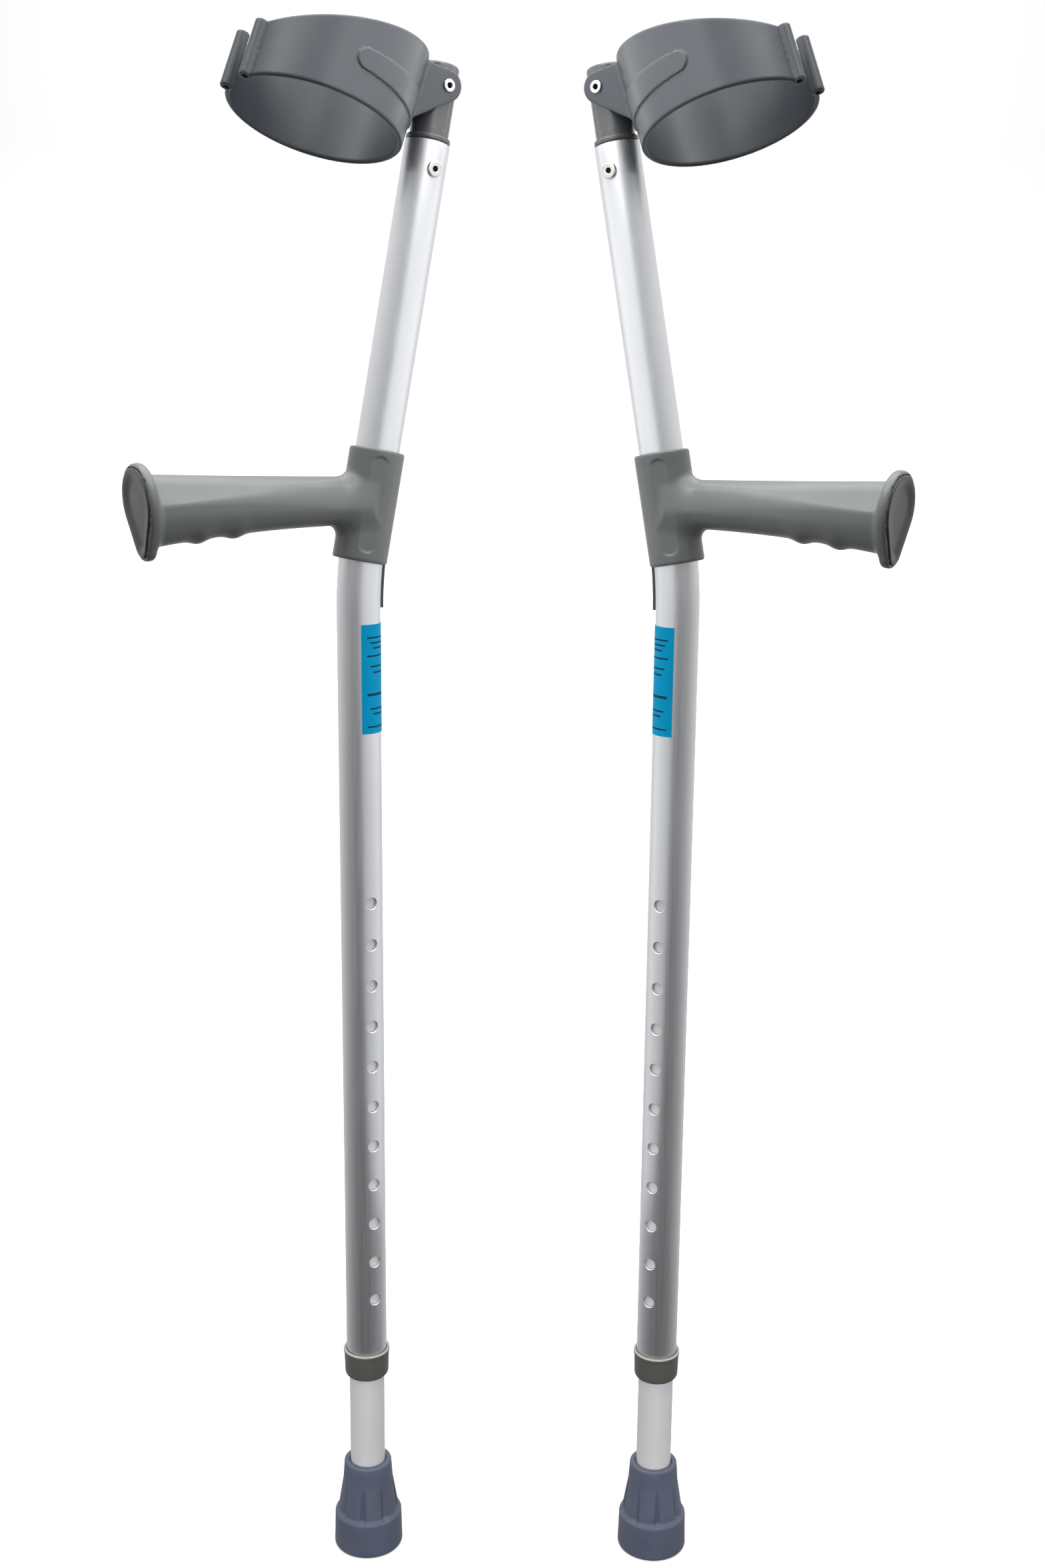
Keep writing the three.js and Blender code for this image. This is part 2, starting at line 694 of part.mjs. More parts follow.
function cuff() {
  const sections = [];
  const sweep = 2 * Math.PI - 2 * CUFF_GAP_ANGLE;
  for (let i = 0; i <= CUFF_STEPS; i++) {
    sections.push(cuffSection(CUFF_GAP_ANGLE + (sweep * i) / CUFF_STEPS));
  }
  let body = loft(sections);
  for (const side of [-1, 1]) {
    body = body.add(beadRod(side * CUFF_GAP_ANGLE, BEAD_R, BEAD_OVERHANG)).add(ear(side));
  }
  for (const side of [-1, 1]) {
    body = body.subtract(beadRod(side * CUFF_GAP_ANGLE, BEAD_BORE_R, 8));
  }
  return body.subtract(crossPin(EAR_HOLE_R, onUpperTube(PIVOT_S)));
}

function crutch(prefix) {
  const group = new THREE.Group();
  const add = (name, body, surface) => group.add(meshOf(prefix + name, body, surface));
  const stemRivet = hollowRivet(STEM_RIVET, TUBE_R + GAP, onUpperTube(STEM_RIVET_S));
  const pivotRivet = hollowRivet(PIVOT_RIVET, EAR_INNER_Y + EAR_THICKNESS + GAP, onUpperTube(PIVOT_S));
  add("outer_tube", outerTube(), ALUMINIUM);
  add("handle", handle(), GREY_PLASTIC);
  add("handle_end_cap", endCap(), DARK_PLASTIC);
  add("handle_wedge", wedge(0), DARK_PLASTIC);
  add("tube_label", label(), BLUE_FILM);
  add("cuff", cuff(), GREY_PLASTIC);
  add("cuff_stem", stem(), DARK_PLASTIC);
  add("stem_rivet", stemRivet, BRIGHT_STEEL);
  add("cuff_pivot_rivet", pivotRivet, BRIGHT_STEEL);
  add("leg_tube", legTube(), ALUMINIUM);
  add("leg_collar", collar(), OLIVE_PLASTIC);
  add("snap_button", snapButton(), BRIGHT_STEEL);
  add("button_spring", buttonSpring(), BRIGHT_STEEL);
  add("rubber_tip", rubberTip(), RUBBER);
  add("tip_washer", tipWasher(), BRIGHT_STEEL);
  group.rotation.z = Math.PI + HANDLE_YAW;
  group.position.set(-HALF_SPACING, DEPTH_SHIFT, 0);
  return group;
}

const pair = new THREE.Group();
const mirrored = new THREE.Group();
mirrored.scale.x = -1;
mirrored.add(crutch("right_"));
pair.add(crutch("left_"), mirrored);

export default pair;
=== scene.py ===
import json
import math

import bmesh
import bpy
import numpy as np
from mathutils import Matrix, Vector

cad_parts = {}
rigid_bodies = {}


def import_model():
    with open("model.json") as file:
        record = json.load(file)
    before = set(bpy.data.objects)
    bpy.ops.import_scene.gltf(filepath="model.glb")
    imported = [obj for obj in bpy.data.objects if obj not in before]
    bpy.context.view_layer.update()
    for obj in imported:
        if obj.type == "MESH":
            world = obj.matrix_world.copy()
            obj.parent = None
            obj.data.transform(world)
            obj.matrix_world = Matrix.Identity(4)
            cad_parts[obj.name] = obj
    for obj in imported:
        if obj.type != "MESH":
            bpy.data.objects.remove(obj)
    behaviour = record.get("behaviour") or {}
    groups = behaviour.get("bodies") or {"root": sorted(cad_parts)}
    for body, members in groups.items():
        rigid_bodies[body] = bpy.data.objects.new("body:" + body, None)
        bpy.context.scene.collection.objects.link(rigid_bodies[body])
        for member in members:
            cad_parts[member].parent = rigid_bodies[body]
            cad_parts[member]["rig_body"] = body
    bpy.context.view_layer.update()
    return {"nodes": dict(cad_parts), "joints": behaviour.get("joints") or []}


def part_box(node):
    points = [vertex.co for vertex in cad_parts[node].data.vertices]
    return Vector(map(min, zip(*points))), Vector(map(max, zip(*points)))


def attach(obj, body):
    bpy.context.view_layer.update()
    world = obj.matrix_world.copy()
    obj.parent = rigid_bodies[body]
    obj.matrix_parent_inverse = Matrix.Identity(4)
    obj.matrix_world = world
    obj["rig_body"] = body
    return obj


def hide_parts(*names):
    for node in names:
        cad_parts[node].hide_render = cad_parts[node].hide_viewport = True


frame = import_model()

# A pair of forearm crutches. Each piece is shaped once in a crutch's own frame, in millimetres:
# x along the handle, y to the side away from the button, z up from the foot. The right crutch
# mirrors the left. Heights marked S run along the upper straight part, from the corner of the axes.
MM = 0.001

# Outer tube and the leg inside it
TUBE_R, TUBE_WALL = 12.5, 1.4
LEG_R, LEG_WALL = 10.9, 1.3
TUBE_BOTTOM, TUBE_TOP_S = 122.0, 237.0
LEG_BOTTOM, LEG_TOP = 13.3, 453.5
BEND_Z, BEND_R, BEND_ANGLE = 624.2, 250.0, math.radians(11.2)
BEND_START = BEND_Z - BEND_R * math.tan(BEND_ANGLE / 2)
BEND_LENGTH = BEND_R * BEND_ANGLE
BEND_STEPS = 8
TUBE_LIP = 0.35
GAP = 0.3

# Adjusting holes, each in a square patch of the tube's grid
HOLE_R, HOLE_COUNT, HOLE_PITCH, TOP_HOLE = 3.5, 11, 25.5, 429.5
COLUMNS, HOLE_COLUMNS = 48, 8
HOLE_CELL = 1.7
HOLE_RINGS = (0.35, 0.65, 0.85, 1)
CHAMFER = 0.3
BUTTON_R, BUTTON_BORE_R, BUTTON_OUT, BUTTON_DOME = 3.2, 0.4, 1.5, 2.0

# Socket of the handle, with a long flat on each side
SOCKET_R, SOCKET_S, SOCKET_EDGE = 15.6, (4.9, 67.8), 1.4
FLAT_TURN, FLAT_S, FLAT_HALF, FLAT_DEPTH_R, FLAT_EDGE = math.radians(73), (16.0, 58.0), 5.6, 14.7, 0.7
SOCKET_FILLET = 8.0

# Grip: each pair is the value at the socket and its change up to the end plate
GRIP_START = 14.0
GRIP_TOP, GRIP_BOTTOM, GRIP_HALF = (677.6, 4.2), (649.3, -7.5), (14.0, 2.6)
CREASE_Z, ROOF_LEAN = (670.9, -5.5), (37, 15)
ROOF_INSET, ROOF_ROUND = 0.6, 7.0
CREASE_ROUND, CREASE_FADE = 0.6, 9.0
WAIST_Z, FLANK_RISE = 661.0, 27.0
RIDGES, RIDGE_HEIGHT, RIDGE_WIDTH = (76, 97), 2.0, 5.0

# End plate and its cap
FLANGE_X, FLANGE_THICK, FLANGE_TILT = 124.0, 6.0, math.radians(5)
FLANGE_LOW, FLANGE_HIGH = 635.2, 687.0
FLANGE_MIDDLE = (FLANGE_LOW + FLANGE_HIGH) / 2
FLANGE_LOW_R, FLANGE_HIGH_R = 10.0, 20.5
FLANGE_EDGE, FLANGE_FILLET = 2.2, 3.5
CAP_INSET, CAP_DEPTH, CAP_RISE, CAP_EDGE = 2.0, 2.4, 0.6, 0.9
DISH_DEPTH, DISH_MARGIN, DISH_SLOPE = 1.5, 1.5, 7.0

# Strip between tube and socket
WEDGE_Z, WEDGE_THICK, WEDGE_HALF = (602.0, 645.0), 1.8, math.radians(14)
WEDGE_PLAY = 0.05

# Label on the tube: height and turn of the film, then bottom and thickness of each line
LABEL_Z, LABEL_TURN = (531.0, 594.0), (math.radians(69), math.radians(184))
LABEL_LINES = (
    (586, 1), (583, 1), (580, 1), (575.5, 1), (569.5, 1),
    (566, 1), (553, 1.5), (545, 1), (542, 1), (534.5, 1),
)
LINE_START, LINE_INDENT, LINE_END = 84, 9, 168

# Stem and rivets
STEM_R, STEM_S, STEM_FLAT = 10.8, (195.0, 279.0), 10.2
STEM_FLAT_START = 4.0
SHOULDER_R, SHOULDER_HEIGHT, RING_HALF = 12.3, 3.0, 1.4
STEM_RIVET_S, PIVOT_S = 222.0, 266.5
RIVET_BORE_R, RIVET_ROLL = 1.5, 0.8

# Cuff: the band's edges as heights at the side of the arm, with their change toward the opening
CUFF_TILT, CUFF_ROLL = math.radians(24.8), math.radians(9.7)
CUFF_CENTRE, CUFF_RX, CUFF_RY, CUFF_WALL = 62.5, 48.4, 44.0, 3.0
CUFF_TOP, CUFF_BOTTOM = (-10.6, -16.5, -2.5), (-55.6, -3.9)
CUFF_GAP, CUFF_EDGE = math.radians(13.5), 1.1
PAD_TURN, PAD_Z, PAD_R = (math.radians(89), math.radians(160)), (-33.4, -29.0), 5.8
PAD_WIDENING, PAD_HEIGHT, PAD_EDGE = 3.0, 1.0, 0.7
BEAD_R, BEAD_BORE_R, BEAD_OVERHANG = 3.5, 1.7, 0.5
EAR_INNER, EAR_THICK, EAR_R, EAR_HOLE_R = 10.6, 3.0, 8.3, 2.5
EAR_TURN, EAR_REACH, EAR_DROP, EAR_FILLET = (80, 223), 16.4, 28, 3.0

# Foot
COLLAR_BOTTOM, COLLAR_TOP, COLLAR_R, COLLAR_RIM_Z = 118.8, 137.0, (13.5, 14.0, 14.4), 136.2
TIP_TOP, TIP_TOP_R = 58.6, 14.8
TIP_LEDGE, TIP_LEDGE_R, TIP_BASE_R = 22.0, 20.8, 21.6
TIP_BORE_R, TIP_SEAT = 4, 10.7
TREAD_RINGS, TREAD_DEPTH = (7, 14), 1.2
TIP_GROOVES, TIP_GROOVE_TURN = 8, math.radians(5.6)
GROOVE_DEPTH, GROOVE_WIDTH, GROOVE_SOLID_R = 2.2, 0.9, 12
TIP_COLUMNS, TIP_ROW = 256, 2.0

# Studio, in metres, degrees and watts: strips of light between the crutches are (height, length, power)
BETWEEN = ((0.96, 0.2, 0.34), (0.74, 0.24, 0.16), (0.41, 0.42, 0.17))
BETWEEN_Y, BETWEEN_WIDTH, BETWEEN_GAP = -0.11, 0.34, 0.001
SKY = (0, 0.5, 1.0)
SKY_TONES = ((0, 0.1), (0.1, 0.11), (0.22, 0.3), (0.35, 0.42), (0.45, 0.66), (0.7, 0.9), (1, 1.0))
CAMERA_AT, CAMERA_DOWN, CAMERA_ROLL = (0.0035, -1.043, 0.7446), 13.2, 0.54
SENSOR_WIDTH, LENS = 36, 63.3214


# ---------------------------------------------------------------- shapes

class Shell:
    """Points and faces of one piece, gathered part by part."""

    def __init__(self):
        self.points = []
        self.faces = []
        self.count = 0

    def add(self, points):
        """Takes points in and gives their numbers back, in the same arrangement."""
        points = np.asarray(points, float)
        numbers = np.arange(self.count, self.count + points[..., 0].size).reshape(points.shape[:-1])
        self.points.append(points.reshape(-1, 3))
        self.count += points[..., 0].size
        return numbers

    def strip(self, low, high, closed=True):
        """Quads between two rows of point numbers."""
        if closed:
            low, high = np.append(low, low[0]), np.append(high, high[0])
        self.faces += np.stack([low[:-1], low[1:], high[1:], high[:-1]], -1).tolist()

    def rows(self, numbers, closed=True, keep=None):
        """Quads between neighbouring rows, where keep(row, column) allows."""
        for i in range(len(numbers) - 1):
            low, high = numbers[i], numbers[i + 1]
            if closed:
                low, high = np.append(low, low[0]), np.append(high, high[0])
            quads = np.stack([low[:-1], low[1:], high[1:], high[:-1]], -1)
            if keep is not None:
                quads = quads[[keep(i, j) for j in range(len(quads))]]
            self.faces += quads.tolist()

    def fan(self, row, centre):
        """Triangles from a closed row to one point."""
        tip = int(self.add([centre])[0])
        for a, b in zip(row, np.roll(row, -1)):
            self.faces.append([int(a), int(b), tip])


def spine(t):
    """Centre (x, z) and lean of the outer tube at length t, which is the height up to the bend."""
    t = np.asarray(t, float)
    lean = np.clip((t - BEND_START) / BEND_R, 0, BEND_ANGLE)
    beyond = np.maximum(t - BEND_START - BEND_LENGTH, 0)
    x = -BEND_R * (1 - np.cos(lean)) - beyond * np.sin(lean)
    z = np.minimum(t, BEND_START) + BEND_R * np.sin(lean) + beyond * np.cos(lean)
    return x, z, lean


def length_at(s):
    """Length along the tube at distance s above the corner of its two straight axes."""
    return BEND_START + BEND_LENGTH + s - BEND_R * math.tan(BEND_ANGLE / 2)


def on_tube(radius, turn, t):
    """Points at a distance from the bent tube's centre line, turned about it at length t."""
    x, z, lean = spine(t)
    across = radius * np.cos(turn)
    y = radius * np.sin(turn)
    return np.stack(np.broadcast_arrays(x + across * np.cos(lean), y, z + across * np.sin(lean)), -1)


def upper_point(s):
    """Point on the axis of the upper straight part."""
    return np.array([-s * math.sin(BEND_ANGLE), 0, BEND_Z + s * math.cos(BEND_ANGLE)])


def soften(corners, steps=5):
    """Outline through (u, v, radius) corners, each turned into an arc of its radius."""
    outline = []
    for i, (u, v, radius) in enumerate(corners):
        here = np.array([u, v])
        if radius == 0:
            outline.append(here)
            continue
        a = np.array(corners[i - 1][:2]) - here
        b = np.array(corners[(i + 1) % len(corners)][:2]) - here
        a, b = a / np.linalg.norm(a), b / np.linalg.norm(b)
        half = math.acos(float(np.clip(a @ b, -1, 1))) / 2
        centre = here + (a + b) / np.linalg.norm(a + b) * radius / math.sin(half)
        start = here + a * radius / math.tan(half) - centre
        end = here + b * radius / math.tan(half) - centre
        swing = math.pi - 2 * half
        for k in range(steps + 1):
            part = k / steps
            mix = (math.sin((1 - part) * swing) * start + math.sin(part * swing) * end) / math.sin(swing)
            outline.append(centre + mix)
    return np.array(outline)


def lathe(outline, place, segments=64, closed=True):
    """Outline of (radius, height) turned round; place(radius, turn, height) gives the points."""
    shell = Shell()
    turn = np.linspace(0, 2 * np.pi, segments, endpoint=False)[None, :]
    numbers = shell.add(place(outline[:, :1], turn, outline[:, 1:]))
    shell.rows(numbers)
    if closed:
        shell.strip(numbers[-1], numbers[0])
    else:
        for row, (_, height) in ((numbers[0], outline[0]), (numbers[-1], outline[-1])):
            shell.fan(row, place(np.zeros(1), np.zeros(1), np.array([height]))[0])
    return shell


def upright(radius, turn, height):
    return np.stack(np.broadcast_arrays(radius * np.cos(turn), radius * np.sin(turn), height), -1)


def crosswise(at):
    """Turned about the side axis through a point."""
    def place(radius, turn, height):
        x = at[0] + radius * np.cos(turn)
        z = at[2] + radius * np.sin(turn)
        return np.stack(np.broadcast_arrays(x, height, z), -1)
    return place


def hole_rings(turn, t, across_r, reach):
    """Rings of points (turn, length) between a square patch's border and a round opening, from outside in."""
    half = HOLE_COLUMNS // 2
    side = np.arange(-half, half)
    border = np.concatenate([
        np.stack([side, np.full(HOLE_COLUMNS, -half)], -1),
        np.stack([np.full(HOLE_COLUMNS, half), side], -1),
        np.stack([-side, np.full(HOLE_COLUMNS, half)], -1),
        np.stack([np.full(HOLE_COLUMNS, -half), -side], -1),
    ])
    step = 2 * np.pi / COLUMNS
    square = np.stack([border[:, 0] * step, border[:, 1] * HOLE_CELL], -1)
    angle = np.arctan2(square[:, 1], square[:, 0] * across_r)
    opening = np.stack([-np.arcsin(-reach * np.cos(angle) / across_r), reach * np.sin(angle)], -1)
    rings = [square + (opening - square) * part for part in HOLE_RINGS]
    return border, [ring + np.array([turn, t]) for ring in rings]


def drilled_tube(radius, wall, low, high, openings):
    """Tube wall with rounded ends and chamfered round openings, given as (column, length, radius)."""
    shell = Shell()
    half = HOLE_COLUMNS // 2
    lengths = [low, low + TUBE_LIP]
    for _, t, _ in openings:
        lengths += [t + HOLE_CELL * k for k in range(-half, half + 1)]
    bend = [BEND_START + BEND_LENGTH * k / BEND_STEPS for k in range(BEND_STEPS + 1)]
    lengths += [t for t in bend if low < t < high] + [high - TUBE_LIP, high]
    lengths = np.array(sorted(set(round(t, 4) for t in lengths)))
    turn = 2 * np.pi * np.arange(COLUMNS) / COLUMNS
    skip = set()
    for column, t, _ in openings:
        first = int(np.argmin(abs(lengths - (t - half * HOLE_CELL))))
        for i in range(HOLE_COLUMNS):
            for j in range(HOLE_COLUMNS):
                skip.add((first + i, (column - half + j) % COLUMNS))
    walls = []
    for r, inset in ((radius, TUBE_LIP), (radius - wall, -TUBE_LIP)):
        rim = np.where((lengths == lengths[0]) | (lengths == lengths[-1]), inset, 0)
        numbers = shell.add(on_tube((r - rim)[:, None], turn[None, :], lengths[:, None]))
        shell.rows(numbers, keep=lambda i, j: (i, j) not in skip)
        walls.append(numbers)
    shell.strip(walls[0][0], walls[1][0])
    shell.strip(walls[0][-1], walls[1][-1])
    for column, t, reach in openings:
        first = int(np.argmin(abs(lengths - t)))
        middle = turn[column % COLUMNS]
        chain = []
        for r, numbers, opening in ((radius, walls[0], reach + CHAMFER), (radius - wall, walls[1], reach)):
            border, rings = hole_rings(middle, t, r, opening)
            edge = np.array([numbers[first + b, (column + a) % COLUMNS] for a, b in border])
            part = [edge] + [shell.add(on_tube(r, ring[:, 0], ring[:, 1])) for ring in rings]
            chain.append(part)
        _, rings = hole_rings(middle, t, radius - CHAMFER, reach)
        bevel = shell.add(on_tube(radius - CHAMFER, rings[-1][:, 0], rings[-1][:, 1]))
        path = chain[0] + [bevel] + chain[1][::-1]
        for a, b in zip(path, path[1:]):
            shell.strip(a, b)
    return shell


# ---------------------------------------------------------------- solids given by distance

def join(a, b, radius):
    """Union of two solids with a fillet between them."""
    hollow = np.hypot(np.maximum(radius - a, 0), np.maximum(radius - b, 0))
    return np.maximum(radius, np.minimum(a, b)) - hollow


def both(a, b, radius):
    """What two solids share, with a rounded edge."""
    return -join(-a, -b, radius)


def ellipse(u, v, a, b):
    """Approximate distance to an ellipse with half axes a and b."""
    near = np.hypot(u / a, v / b)
    slope = np.maximum(np.hypot(u / a**2, v / b**2), 1e-6)
    return near * (near - 1) / slope


def capsule(u, v, start, end, radius):
    """Distance to a round-ended bar between two points of the plane."""
    du, dv = end[0] - start[0], end[1] - start[1]
    part = np.clip(((u - start[0]) * du + (v - start[1]) * dv) / (du * du + dv * dv), 0, 1)
    return np.hypot(u - start[0] - part * du, v - start[1] - part * dv) - radius


def step_to_surface(field, at, longest, reach=0.02, flattest=0.25):
    """Way from the surface to each point along the field's slope, no longer than given."""
    slope = np.stack([
        (field(at + reach * unit) - field(at - reach * unit)) / (2 * reach) for unit in np.eye(3)
    ], -1)
    off = field(at) / np.maximum((slope**2).sum(-1), flattest)
    step = slope * off[:, None]
    far = np.linalg.norm(step, axis=-1)
    return step * np.minimum(1, longest / np.maximum(far, 1e-9))[:, None]


def skin(field, low, high, cell, place=None):
    """Quad surface of the solid where field(points) is negative, inside a box."""
    axes = [np.arange(a, b + cell, cell) for a, b in zip(low, high)]
    size = np.array([len(a) for a in axes])
    points = np.stack(np.meshgrid(*axes, indexing="ij"), -1)
    value = field(points.reshape(-1, 3)).reshape(size)
    inside = value < 0
    cells = size - 1
    total, hits = np.zeros((cells.prod(), 3)), np.zeros(cells.prod())
    quads = []
    for axis in range(3):
        ahead = [slice(None)] * 3
        behind = [slice(None)] * 3
        ahead[axis], behind[axis] = slice(1, None), slice(None, -1)
        ahead, behind = tuple(ahead), tuple(behind)
        edge = np.argwhere(inside[ahead] != inside[behind])
        first = value[behind][tuple(edge.T)]
        second = value[ahead][tuple(edge.T)]
        at = points[behind][tuple(edge.T)].copy()
        at[:, axis] += cell * first / (first - second)
        b, c = (axis + 1) % 3, (axis + 2) % 3
        corner = []
        for db, dc in ((0, 0), (1, 0), (1, 1), (0, 1)):
            index = edge.copy()
            index[:, b] -= db
            index[:, c] -= dc
            flat = np.ravel_multi_index(tuple(index.T), cells)
            np.add.at(total, flat, at)
            np.add.at(hits, flat, 1)
            corner.append(flat)
        corner = np.stack(corner, -1)
        corner[first > 0] = corner[first > 0][:, ::-1]
        quads.append(corner)
    used = np.flatnonzero(hits)
    number = np.full(cells.prod(), -1)
    number[used] = np.arange(len(used))
    at = total[used] / hits[used][:, None]
    for _ in range(3):
        at -= step_to_surface(field, at, cell / 2)
    shell = Shell()
    shell.add(at if place is None else place(at))
    shell.faces = number[np.concatenate(quads)].tolist()
    return shell


def upper_frame(x, z):
    """Coordinates across and along the upper straight part of the tube."""
    across = x * math.cos(BEND_ANGLE) + (z - BEND_Z) * math.sin(BEND_ANGLE)
    s = -x * math.sin(BEND_ANGLE) + (z - BEND_Z) * math.cos(BEND_ANGLE)
    return across, s


def plate_frame(x, z):
    """Depth into the handle's end plate and height on it."""
    depth = (x - FLANGE_X) * math.cos(FLANGE_TILT) - (z - FLANGE_MIDDLE) * math.sin(FLANGE_TILT)
    height = (x - FLANGE_X) * math.sin(FLANGE_TILT) + (z - FLANGE_MIDDLE) * math.cos(FLANGE_TILT)
    return depth, height + FLANGE_MIDDLE


def from_plate(points):
    """Points (depth, side, height) of the end plate in the crutch's frame."""
    depth, side, height = points.T
    height = height - FLANGE_MIDDLE
    x = FLANGE_X + depth * math.cos(FLANGE_TILT) + height * math.sin(FLANGE_TILT)
    z = FLANGE_MIDDLE - depth * math.sin(FLANGE_TILT) + height * math.cos(FLANGE_TILT)
    return np.stack([x, side, z], -1)


def teardrop(side, height):
    """Distance to the end plate's outline, round a small circle below and a large one above."""
    low = FLANGE_LOW + FLANGE_LOW_R
    span = FLANGE_HIGH - FLANGE_HIGH_R - low
    side, height = abs(side), height - low
    lean = (FLANGE_LOW_R - FLANGE_HIGH_R) / span
    rise = math.sqrt(1 - lean * lean)
    along = rise * height - lean * side
    below = np.hypot(side, height) - FLANGE_LOW_R
    above = np.hypot(side, height - span) - FLANGE_HIGH_R
    between = rise * side + lean * height - FLANGE_LOW_R
    return np.where(along < 0, below, np.where(along > rise * span, above, between))


def bent_radius(x, y, z):
    """Distance from the bent tube's centre line, and the way across it."""
    turned = np.arctan2(z - BEND_START, x + BEND_R)
    arc = np.hypot(x + BEND_R, z - BEND_START) - BEND_R
    upper, _ = upper_frame(x, z)
    across = np.where(turned < 0, x, np.where(turned > BEND_ANGLE, upper, arc))
    return np.hypot(across, y), across


def grip_field(p):
    """Grip from socket to end plate: sloping roof faces over rounded flanks, finger ridges below."""
    x, y, z = p.T
    part = np.clip((x - GRIP_START) / (FLANGE_X - GRIP_START), 0, 1)
    ridges = sum(RIDGE_HEIGHT * np.exp(-(((x - at) / RIDGE_WIDTH) ** 2)) for at in RIDGES)
    top = GRIP_TOP[0] + GRIP_TOP[1] * part
    bottom = GRIP_BOTTOM[0] + GRIP_BOTTOM[1] * part**2 - ridges
    half = GRIP_HALF[0] + GRIP_HALF[1] * part
    crease = CREASE_Z[0] + CREASE_Z[1] * part
    lean = np.radians(ROOF_LEAN[0] + ROOF_LEAN[1] * part)
    roof = (abs(y) - half + ROOF_INSET) * np.sin(lean) + (z - crease) * np.cos(lean)
    crown = both(roof, z - top, ROOF_ROUND)
    flank = ellipse(y, z - WAIST_Z, half, np.where(z > WAIST_Z, FLANK_RISE, WAIST_Z - bottom))
    grip = both(crown, flank, CREASE_ROUND + CREASE_FADE * (1 - part) ** 2)
    return np.maximum(grip, np.maximum(-x, x - FLANGE_X - 2))


def handle_field(p):
    """Socket, grip and end plate in one, hollow for the tube, the strip and the cap."""
    x, y, z = p.T
    across, s = upper_frame(x, z)
    middle, half = (SOCKET_S[0] + SOCKET_S[1]) / 2, (SOCKET_S[1] - SOCKET_S[0]) / 2
    off = abs(np.arctan2(y, across)) - FLAT_TURN
    window = capsule(off * SOCKET_R, s, (0, FLAT_S[0]), (0, FLAT_S[1]), FLAT_HALF)
    flat = np.minimum(SOCKET_R, FLAT_DEPTH_R / np.maximum(np.cos(off), 0.5))
    wall = SOCKET_R + (flat - SOCKET_R) * np.clip(0.5 - window / FLAT_EDGE, 0, 1)
    socket = both(np.hypot(across, y) - wall, abs(s - middle) - half, SOCKET_EDGE)
    body = join(socket, grip_field(p), SOCKET_FILLET)
    depth, height = plate_frame(x, z)
    outline = teardrop(y, height)
    plate = both(outline, abs(depth - FLANGE_THICK / 2) - FLANGE_THICK / 2, FLANGE_EDGE)
    body = join(body, plate, FLANGE_FILLET)
    recess = np.maximum(outline + CAP_INSET - GAP, FLANGE_THICK - CAP_DEPTH - GAP - depth)
    body = both(body, -recess, 0.35)
    radius, way = bent_radius(x, y, z)
    body = both(body, TUBE_R + GAP - radius, 0.35)
    rear = abs(np.arctan2(y, -way)) - WEDGE_HALF - WEDGE_PLAY
    slot = np.maximum(rear * TUBE_R, radius - TUBE_R - WEDGE_THICK - 2 * GAP)
    slot = np.maximum(slot, z - WEDGE_Z[1] - GAP)
    return np.maximum(body, -slot)


def cap_field(p):
    """End cap in the plate's own coordinates: depth, side, height."""
    depth, side, height = p.T
    outline = teardrop(side, height) + CAP_INSET
    part = np.clip((-outline - DISH_MARGIN) / DISH_SLOPE, 0, 1)
    dish = DISH_DEPTH * part**2 * (3 - 2 * part)
    face = FLANGE_THICK + CAP_RISE - dish
    return both(both(outline, depth - face, CAP_EDGE), FLANGE_THICK - CAP_DEPTH - depth, 0.3)


def stem_field(p):
    """Stem in coordinates across, side and along the upper tube."""
    across, side, s = p.T
    radius = np.hypot(across, side)
    core = both(radius - STEM_R, s - STEM_S[1], 1.8)
    core = both(core, STEM_S[0] - s, 1.2)
    flat_from = TUBE_TOP_S + SHOULDER_HEIGHT + STEM_FLAT_START
    core = np.where(s > flat_from, both(core, abs(side) - STEM_FLAT, 0.4), core)
    ring_low = TUBE_TOP_S + GAP
    ring = both(radius - SHOULDER_R, abs(s - ring_low - RING_HALF) - RING_HALF, 0.7)
    core = join(core, ring, 0.3)
    for at in (STEM_RIVET_S, PIVOT_S):
        core = both(core, EAR_HOLE_R + GAP - np.hypot(across, s - at), 0.2)
    return core


def from_upper(points):
    """Points (across, side, along) of the upper tube in the crutch's frame."""
    across, side, s = points.T
    x = across * math.cos(BEND_ANGLE) - s * math.sin(BEND_ANGLE)
    z = BEND_Z + across * math.sin(BEND_ANGLE) + s * math.cos(BEND_ANGLE)
    return np.stack([x, side, z], -1)


def cuff_edges(front):
    """Upper and lower edge of the band; front is 1 at the opening and -1 at the tube."""
    top = CUFF_TOP[0] + CUFF_TOP[1] * front + CUFF_TOP[2] * front * front
    return top, CUFF_BOTTOM[0] + CUFF_BOTTOM[1] * front


def pad_field(off, arc, along, rx):
    """Raised pad on the outside of the band, round in front and wider to the rear."""
    start, end = PAD_TURN
    pad = capsule(arc, along, (start * rx, PAD_Z[0]), (end * rx, PAD_Z[1]), PAD_R)
    pad -= PAD_WIDENING * np.clip((arc / rx - start) / (end - start), 0, 1)
    return both(np.maximum(pad, -off), off - CUFF_WALL / 2 - PAD_HEIGHT, PAD_EDGE)


def ear_field(forward, y, up):
    """Plate on each side of the stem, round about the pivot and running straight into the band."""
    turns = np.radians(EAR_TURN)
    straight = [forward * np.cos(turn) + up * np.sin(turn) for turn in turns]
    hull = np.maximum(*straight) - EAR_R
    facing = np.degrees(np.arctan2(up, forward)) % 360
    hull = np.where((facing > EAR_TURN[0]) & (facing < EAR_TURN[1]), np.hypot(forward, up) - EAR_R, hull)
    hull = np.maximum(hull, np.maximum(forward - EAR_REACH, -EAR_DROP - up))
    leaf = abs(abs(y) - EAR_INNER - EAR_THICK / 2) - EAR_THICK / 2
    return both(hull, leaf, 0.9)


